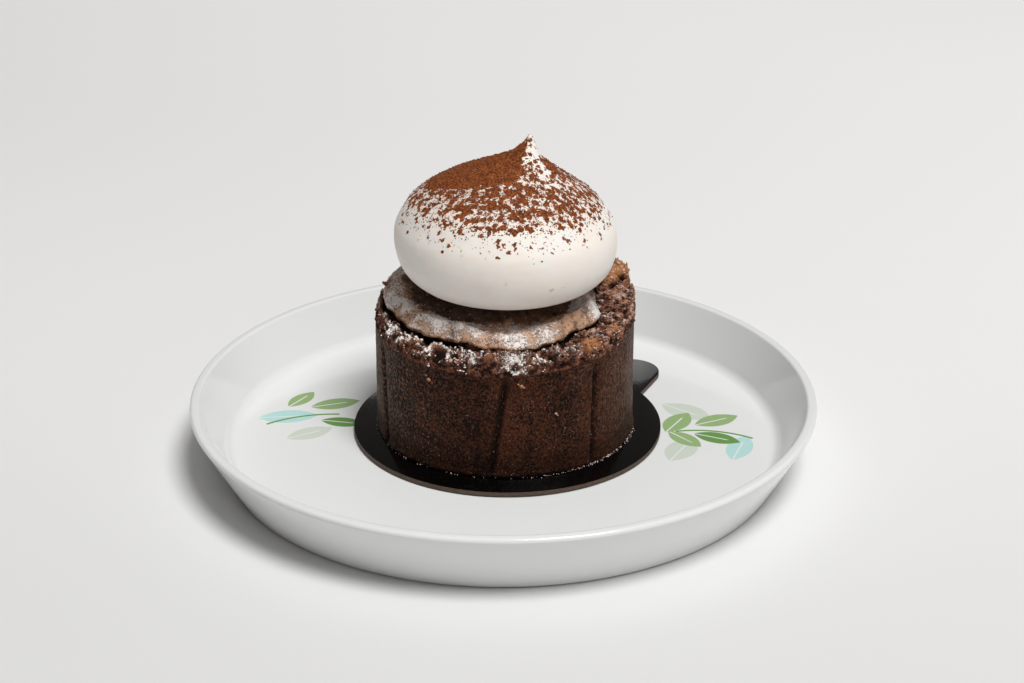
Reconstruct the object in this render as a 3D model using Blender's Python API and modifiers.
"""Chocolate lava cake with a soft meringue on it, standing on its black card on a small white plate.

Metres, +Z up. The origin is the middle of the plate's underside, and the front of the cake faces -Y.
Angles round the cake are in degrees, from +X towards +Y. Pieces that touch keep a gap of 0.3 mm.
"""

import math

import bpy
from mathutils import Vector, noise

GAP = 0.0003
OBJECT_NAME = "chocolate_lava_cake"

# Plate: flat well, straight wall that leans out, rounded lip, foot ring round a shallow recess
PLATE_RADIUS = 0.0803
PLATE_HEIGHT = 0.0176
PLATE_BASE_RADIUS = 0.0712
PLATE_WALL = 0.0025
PLATE_FLOOR = 0.0050
PLATE_RECESS = 0.0015
FOOT_WIDTH = 0.0040
WELL_ROUND = 0.0035
LIP_ROUND = 0.0009
BASE_ROUND = 0.0012
PLATE_STEPS = 72

# Card: a disc with a pull tab whose straight sides run to a round end
CARD_CENTRE = Vector((0.0010, 0.0032))
CARD_RADIUS = 0.0400
CARD_THICKNESS = 0.0012
TAB_ANGLE = 43.3
TAB_REACH = 0.0467
TAB_END_RADIUS = 0.0078
TAB_ROOT_SPREAD = 17.3
CARD_BOTTOM = PLATE_FLOOR + GAP
CARD_TOP = CARD_BOTTOM + CARD_THICKNESS

# Cake: a nearly straight side, a ragged crumb border and a pale crust that curls over a crevice
CAKE_CENTRE = Vector((0.0004, 0.0036))
CAKE_RADIUS = 0.0331
CAKE_FOOT_RADIUS = 0.0334
CAKE_BOTTOM = CARD_TOP + GAP
SEAT_HEIGHT = 0.0420
SEAT_RADIUS = 0.0095
CRUST_RADIUS = 0.0286
CRUST_TOP = 0.0413
RIM_HEIGHT = 0.0374
CRUMB_RELIEF = 0.0011
CRUST_RELIEF = 0.0006
SIDE_RELIEF = 0.00022
CAKE_STEPS = 90

# How far out the crust's edge reaches, how high it stands there, and how high the side's ragged
# top edge is, as (degrees, metres)
CRUST_REACH = [
    (-150, 0.0274),
    (-120, 0.0284),
    (-90, 0.0304),
    (-62, 0.0278),
    (-42, 0.0242),
    (-22, 0.0256),
    (5, 0.0250),
    (35, 0.0264),
    (70, 0.0284),
    (110, 0.0294),
    (148, 0.0306),
    (180, 0.0290),
]
CRUST_HEIGHT = [
    (-150, 0.0412),
    (-90, 0.0406),
    (-42, 0.0412),
    (0, 0.0420),
    (35, 0.0436),
    (90, 0.0428),
    (146, 0.0436),
    (180, 0.0416),
]
EDGE_HEIGHT = [
    (-165, 0.0380),
    (-135, 0.0374),
    (-110, 0.0368),
    (-90, 0.0366),
    (-60, 0.0368),
    (-28, 0.0372),
    (-4, 0.0394),
    (12, 0.0440),
    (25, 0.0470),
    (42, 0.0440),
    (75, 0.0420),
    (112, 0.0416),
    (146, 0.0422),
    (172, 0.0390),
]

# Creases in the side, each as (degrees at its top, top height, degrees at its bottom, bottom height,
# half width in degrees, depth)
CREASES = [
    (-89.3, 0.0300, -96.5, 0.0068, 1.9, 0.0010),
    (-47.0, 0.0290, -48.4, 0.0068, 1.5, 0.0007),
    (-158.0, 0.0300, -155.0, 0.0068, 2.2, 0.0008),
    (-66.0, 0.0350, -67.0, 0.0180, 3.0, 0.0003),
    (38.0, 0.0340, 35.0, 0.0090, 2.4, 0.0007),
    (118.0, 0.0330, 122.0, 0.0100, 2.0, 0.0006),
]

# Meringue: a round-sided dome that runs up in a cone to a small pulled peak, which leans to the right
MERINGUE_CENTRE = Vector((0.0000, 0.0043))
MERINGUE_SEAT = SEAT_HEIGHT + GAP
MERINGUE_SEAT_RADIUS = 0.0085
MERINGUE_RADIUS = 0.0281
MERINGUE_WAIST = 0.0575
MERINGUE_TOP = 0.0845
MERINGUE_RELIEF = 0.0002
MERINGUE_STEPS = 64

# How far right of its seat the middle of the meringue lies, as (height, metres)
MERINGUE_LEAN = [
    (MERINGUE_SEAT, 0.0013),
    (MERINGUE_WAIST, 0.0006),
    (0.0660, 0.0001),
    (0.0710, 0.0000),
    (0.0740, 0.0010),
    (0.0770, 0.0030),
    (0.0800, 0.0054),
    (0.0820, 0.0063),
    (MERINGUE_TOP, 0.0068),
]


def material(name, colour, roughness, metallic=0.0):
    """A plain finish of one colour."""
    made = bpy.data.materials.new(name)
    made.use_nodes = True
    shader = made.node_tree.nodes["Principled BSDF"]
    shader.inputs["Base Color"].default_value = (*colour, 1.0)
    shader.inputs["Roughness"].default_value = roughness
    shader.inputs["Metallic"].default_value = metallic
    return made


def place(obj, collection, finish, location=(0, 0, 0)):
    """Puts a finished piece into the model."""
    collection.objects.link(obj)
    obj.location = location
    obj.data.materials.clear()
    obj.data.materials.append(finish)
    return obj


def turned(name, profile, steps):
    """A solid turned about Z from (radius, height) points that run from the axis, down the outside and back."""
    mesh = bpy.data.meshes.new(name)
    points = [(radius, 0, height) for radius, height in profile]
    edges = [(first, first + 1) for first in range(len(points) - 1)]
    mesh.from_pydata(points, edges, [])
    obj = bpy.data.objects.new(name, mesh)
    screw = obj.modifiers.new("turn", "SCREW")
    screw.axis = "Z"
    screw.steps = steps
    screw.render_steps = steps
    screw.use_merge_vertices = True
    screw.merge_threshold = 0.00005
    return obj


def settle(obj):
    """Applies the modifiers, so that the points can be moved one by one."""
    graph = bpy.context.evaluated_depsgraph_get()
    mesh = bpy.data.meshes.new_from_object(obj.evaluated_get(graph))
    obj.modifiers.clear()
    obj.data = mesh


def smooth(obj, sharp_degrees):
    """Round pieces shade smooth, and stay sharp where they turn by more than this."""
    obj.data.shade_smooth()
    obj.data.set_sharp_from_angle(angle=math.radians(sharp_degrees))


def polar(radius, degrees):
    return Vector((radius * math.cos(math.radians(degrees)), radius * math.sin(math.radians(degrees))))


def ramp(value, start, end):
    """0 before start, 1 after end, and a smooth climb between."""
    step = min(max((value - start) / (end - start), 0.0), 1.0)
    return step * step * (3.0 - 2.0 * step)


def rounded_corner(before, corner, after, radius, cuts):
    """Points of the arc that rounds the corner between two straight runs."""
    back = (before - corner).normalized()
    ahead = (after - corner).normalized()
    half = back.angle(ahead) / 2
    centre = corner + (back + ahead).normalized() * radius / math.sin(half)
    start = (corner + back * radius / math.tan(half) - centre).normalized()
    end = (corner + ahead * radius / math.tan(half) - centre).normalized()
    return [centre + start.slerp(end, step / cuts) * radius for step in range(cuts + 1)]


def catmull(before, start, end, after, step):
    """The smooth curve between start and end that heads along its neighbours."""
    rise = (end - before) / 2
    fall = (after - start) / 2
    square = step * step
    cube = square * step
    return (
        start * (2 * cube - 3 * square + 1)
        + rise * (cube - 2 * square + step)
        + end * (3 * square - 2 * cube)
        + fall * (cube - square)
    )


def round_value(stops, degrees):
    """The value at an angle of a smooth closed curve through (degrees, value) stops."""
    count = len(stops)
    first = stops[0][0]
    turn = (degrees - first) % 360 + first
    place_after = sum(1 for angle, value in stops if angle <= turn) - 1
    angle = stops[place_after][0]
    next_angle = stops[(place_after + 1) % count][0]
    step = (turn - angle) / ((next_angle - angle) % 360)
    values = [stops[(place_after + offset) % count][1] for offset in (-1, 0, 1, 2)]
    return catmull(*values, step)


def plate_profile():
    """The plate's section: well, inner wall, lip, outer wall, foot ring and recess."""
    lean = (PLATE_RADIUS - PLATE_BASE_RADIUS) / PLATE_HEIGHT
    lip_corner = math.pi / 2 - math.atan(lean)
    lip_radius = PLATE_RADIUS + LIP_ROUND * (1 / math.tan(lip_corner / 2) - 1)
    inner_lip = PLATE_RADIUS - PLATE_WALL
    well_radius = inner_lip - lean * (PLATE_HEIGHT - PLATE_FLOOR)
    foot_inner = PLATE_BASE_RADIUS - FOOT_WIDTH
    middle = Vector((0, PLATE_FLOOR))
    well = Vector((well_radius, PLATE_FLOOR))
    lip_inner = Vector((inner_lip, PLATE_HEIGHT))
    lip_outer = Vector((lip_radius, PLATE_HEIGHT))
    base = Vector((PLATE_BASE_RADIUS, 0))
    foot = Vector((foot_inner, 0))
    recess = Vector((foot_inner - PLATE_RECESS, PLATE_RECESS))
    return [
        middle,
        *rounded_corner(middle, well, lip_inner, WELL_ROUND, 3),
        *rounded_corner(well, lip_inner, lip_outer, LIP_ROUND, 2),
        *rounded_corner(lip_inner, lip_outer, base, LIP_ROUND, 3),
        *rounded_corner(lip_outer, base, foot, BASE_ROUND, 2),
        foot,
        recess,
        Vector((0, PLATE_RECESS)),
    ]


def make_plate(collection):
    finish = material("plate_glaze", (0.80, 0.81, 0.80), 0.12)
    plate = turned("plate", plate_profile(), PLATE_STEPS)
    place(plate, collection, finish)
    settle(plate)
    plate.data.materials.append(finish)
    smooth(plate, 40)


def tangent_point(outside, centre, radius, side):
    """Where a straight line from a point outside a circle touches it, on one side."""
    offset = outside - centre
    turn = side * math.acos(radius / offset.length)
    heading = math.atan2(offset.y, offset.x) + turn
    return centre + Vector((math.cos(heading), math.sin(heading))) * radius


def arc(centre, radius, start, end, cuts):
    """Points along an arc, both ends included, angles in degrees."""
    return [centre + polar(radius, start + (end - start) * step / cuts) for step in range(cuts + 1)]


def card_outline():
    """The disc's long arc, then the tab's two straight sides and its round end."""
    middle = Vector((0, 0))
    first_root = TAB_ANGLE + TAB_ROOT_SPREAD
    last_root = TAB_ANGLE - TAB_ROOT_SPREAD + 360
    tab_end = polar(TAB_REACH, TAB_ANGLE)
    low_touch = tangent_point(polar(CARD_RADIUS, last_root), tab_end, TAB_END_RADIUS, 1) - tab_end
    high_touch = tangent_point(polar(CARD_RADIUS, first_root), tab_end, TAB_END_RADIUS, -1) - tab_end
    low_angle = math.degrees(math.atan2(low_touch.y, low_touch.x))
    high_angle = math.degrees(math.atan2(high_touch.y, high_touch.x))
    disc = arc(middle, CARD_RADIUS, first_root, last_root, 66)
    end = arc(tab_end, TAB_END_RADIUS, low_angle, high_angle % 360, 16)
    return disc + end


def make_card(collection):
    curve = bpy.data.curves.new("cake_board", "CURVE")
    curve.dimensions = "2D"
    curve.fill_mode = "BOTH"
    curve.extrude = CARD_THICKNESS / 2
    spline = curve.splines.new("POLY")
    outline = card_outline()
    spline.points.add(len(outline) - 1)
    for target, point in zip(spline.points, outline):
        target.co = (point.x, point.y, 0, 1)
    spline.use_cyclic_u = True
    card = bpy.data.objects.new("cake_board", curve)
    middle = (CARD_CENTRE.x, CARD_CENTRE.y, CARD_BOTTOM + CARD_THICKNESS / 2)
    place(card, collection, material("card_black", (0.012, 0.012, 0.012), 0.15), middle)


def cake_profile():
    """The cake's section before its unevenness: seat, crust, curled edge, crevice, crumb border and side."""
    crust = [
        (0, SEAT_HEIGHT),
        (0.0050, SEAT_HEIGHT),
        (SEAT_RADIUS, SEAT_HEIGHT),
        (0.0130, CRUST_TOP + 0.0002),
        (0.0165, CRUST_TOP - 0.0004),
        (0.0200, CRUST_TOP - 0.0006),
        (0.0230, CRUST_TOP - 0.0003),
        (0.0255, CRUST_TOP),
        (0.0273, CRUST_TOP - 0.0003),
        (0.0283, CRUST_TOP - 0.0010),
        (CRUST_RADIUS, CRUST_TOP - 0.0019),
        (0.0279, CRUST_TOP - 0.0027),
    ]
    border = [
        (0.0274, RIM_HEIGHT - 0.0002),
        (0.0280, RIM_HEIGHT - 0.0011),
        (0.0289, RIM_HEIGHT - 0.0009),
        (0.0298, RIM_HEIGHT - 0.0001),
        (0.0307, RIM_HEIGHT + 0.0004),
        (0.0316, RIM_HEIGHT + 0.0006),
        (0.0324, RIM_HEIGHT + 0.0004),
        (0.0329, RIM_HEIGHT - 0.0003),
        (CAKE_RADIUS, RIM_HEIGHT - 0.0016),
    ]
    side = [(CAKE_RADIUS, 0.0330 - step * 0.0036) for step in range(7)]
    base = [
        (CAKE_FOOT_RADIUS, CAKE_BOTTOM + 0.0006),
        (CAKE_FOOT_RADIUS - 0.0002, CAKE_BOTTOM),
        (0, CAKE_BOTTOM),
    ]
    return crust + border + side + base


def crease_depth(degrees, height):
    """How far the creases pull the side in at one place."""
    pulled = 0.0
    for top_angle, top, bottom_angle, bottom, width, depth in CREASES:
        along = (height - bottom) / (top - bottom)
        middle = bottom_angle + (top_angle - bottom_angle) * along
        away = ((degrees - middle + 180) % 360 - 180) / width
        fade = 1 - ramp(height, top - 0.005, top + 0.003)
        pulled += depth * fade * math.exp(-away * away)
    return pulled


def cake_point(point):
    """Moves one point of the turned cake to its place on the real, uneven one."""
    radius = math.hypot(point.x, point.y)
    if radius <= SEAT_RADIUS + GAP or point.z <= CAKE_BOTTOM + GAP / 10:
        return point
    degrees = math.degrees(math.atan2(point.y, point.x))
    height = point.z
    top = ramp(height, 0.0335, 0.0360)
    border = ramp(radius, 0.0284, 0.0310) * top
    crust = ramp(radius, 0.0120, 0.0255) * (1 - border) * top
    crevice_side = 1 - ramp(radius, 0.0292, 0.0327)
    side = (1 - top) * ramp(radius, 0.0300, 0.0325)
    reach = (round_value(CRUST_REACH, degrees) - CRUST_RADIUS) * ramp(radius, 0.0140, 0.0262)
    spot = Vector((point.x, point.y, height))
    crumb = noise.noise(spot * 300.0) + 0.6 * noise.noise(spot * 640.0)
    wrinkle = noise.noise(spot * 190.0 + Vector((7, 3, 1)))
    panel = noise.noise(Vector((point.x, point.y, height * 0.25)) * 110.0)
    new_radius = radius + reach * crevice_side * top
    new_radius += CRUMB_RELIEF * 0.35 * crumb * border
    new_radius += SIDE_RELIEF * panel * side * 2 - crease_depth(degrees, height) * side
    new_height = height + (round_value(EDGE_HEIGHT, degrees) - RIM_HEIGHT) * border
    new_height += (round_value(CRUST_HEIGHT, degrees) - CRUST_TOP) * crust
    new_height += CRUMB_RELIEF * crumb * border + CRUST_RELIEF * wrinkle * crust
    scale = new_radius / radius
    return Vector((point.x * scale, point.y * scale, new_height))


def make_cake(collection):
    finish = material("cake_crumb", (0.045, 0.018, 0.011), 0.75)
    cake = turned("cake", cake_profile(), CAKE_STEPS)
    place(cake, collection, finish, (CAKE_CENTRE.x, CAKE_CENTRE.y, 0))
    settle(cake)
    cake.data.materials.append(finish)
    for vertex in cake.data.vertices:
        vertex.co = cake_point(vertex.co)
    smooth(cake, 60)


def meringue_profile():
    """The meringue's section before its lean: pulled peak, cone, round belly and flat seat."""
    return [
        (0, MERINGUE_TOP),
        (0.0009, MERINGUE_TOP - 0.0005),
        (0.0018, 0.0822),
        (0.0032, 0.0803),
        (0.0052, 0.0787),
        (0.0084, 0.0770),
        (0.0120, 0.0751),
        (0.0166, 0.0726),
        (0.0212, 0.0696),
        (0.0241, 0.0671),
        (0.0260, 0.0643),
        (0.0276, 0.0612),
        (MERINGUE_RADIUS, MERINGUE_WAIST),
        (0.0277, 0.0538),
        (0.0265, 0.0506),
        (0.0244, 0.0482),
        (0.0220, 0.0466),
        (0.0188, 0.0455),
        (0.0140, 0.0440),
        (MERINGUE_SEAT_RADIUS, MERINGUE_SEAT),
        (0, MERINGUE_SEAT),
    ]


def lean_at(height):
    """How far right the meringue's middle lies at one height."""
    if height >= MERINGUE_TOP:
        return MERINGUE_LEAN[-1][1]
    place_after = max(sum(1 for level, value in MERINGUE_LEAN if level <= height) - 1, 0)
    low, low_value = MERINGUE_LEAN[place_after]
    high, high_value = MERINGUE_LEAN[place_after + 1]
    return low_value + (high_value - low_value) * (height - low) / (high - low)


def meringue_point(point):
    """Leans the upper part over and gives the belly its gentle unevenness."""
    lift = ramp(point.z, MERINGUE_SEAT + 0.001, MERINGUE_SEAT + 0.010)
    uneven = MERINGUE_RELIEF * noise.noise(point * 70.0) * lift
    outward = Vector((point.x, point.y, 0)).normalized() * uneven
    return point + outward + Vector((lean_at(point.z), 0, 0))


def make_meringue(collection):
    finish = material("meringue_white", (0.78, 0.72, 0.67), 0.55)
    meringue = turned("meringue", meringue_profile(), MERINGUE_STEPS)
    place(meringue, collection, finish, (MERINGUE_CENTRE.x, MERINGUE_CENTRE.y, 0))
    settle(meringue)
    meringue.data.materials.append(finish)
    for vertex in meringue.data.vertices:
        vertex.co = meringue_point(vertex.co)
    smooth(meringue, 60)


def main():
    for obj in list(bpy.data.objects):
        bpy.data.objects.remove(obj)
    collection = bpy.data.collections.new(OBJECT_NAME)
    bpy.context.scene.collection.children.link(collection)
    make_plate(collection)
    make_card(collection)
    make_cake(collection)
    make_meringue(collection)


main()
